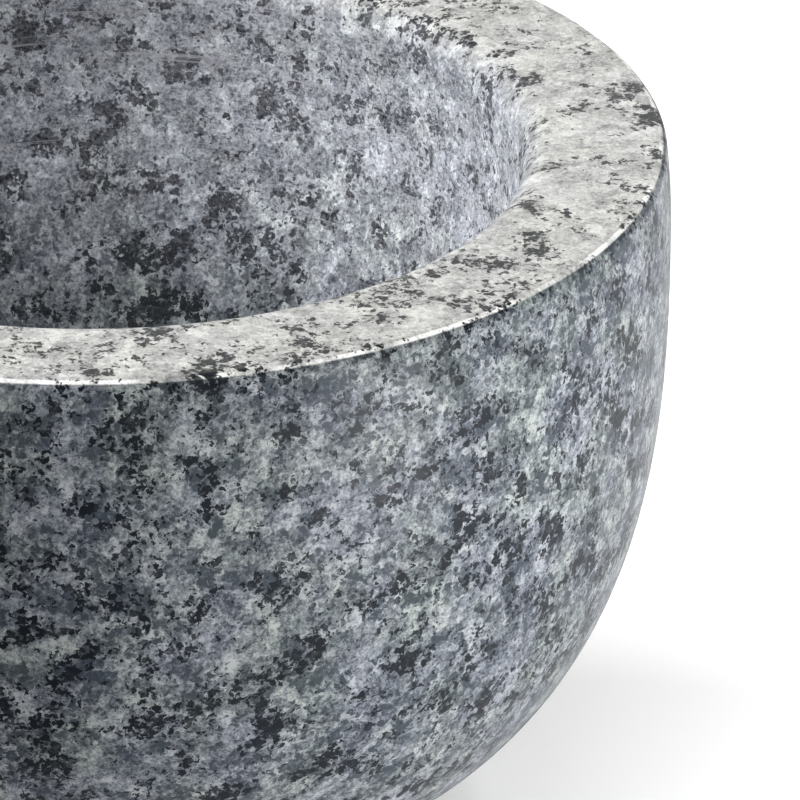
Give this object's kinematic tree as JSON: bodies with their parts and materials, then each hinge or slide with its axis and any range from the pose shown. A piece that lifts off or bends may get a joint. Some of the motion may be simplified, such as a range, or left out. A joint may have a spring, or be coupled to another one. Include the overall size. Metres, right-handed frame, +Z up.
{
  "type": "molcajete",
  "caption": "Granite mortar with a thick flat rim, a round bowl on stub legs, and a loose stone pestle that leans in the cavity.",
  "frame": {"origin": "on the bowl's axis, on the surface that the leg soles stand on", "axes": "+Z up along the bowl's axis; -X towards the rear leg, over which the pestle leans; +Y across"},
  "size_m": [0.18, 0.18, 0.187],
  "materials": {
    "granite_mortar": "speckled grey granite, honed outside, ground flat on the rim, rough turned inside",
    "granite_pestle": "speckled grey granite, honed shaft, rough grinding head"
  },
  "bodies": {
    "mortar": {"mortar": "granite_mortar"},
    "pestle": {"pestle": "granite_pestle"}
  },
  "joints": [
    {"name": "pestle_lift", "type": "slide", "parent": "mortar", "child": "pestle", "axis": [0, 0, 1], "range_m": [0, 0.1]}
  ]
}
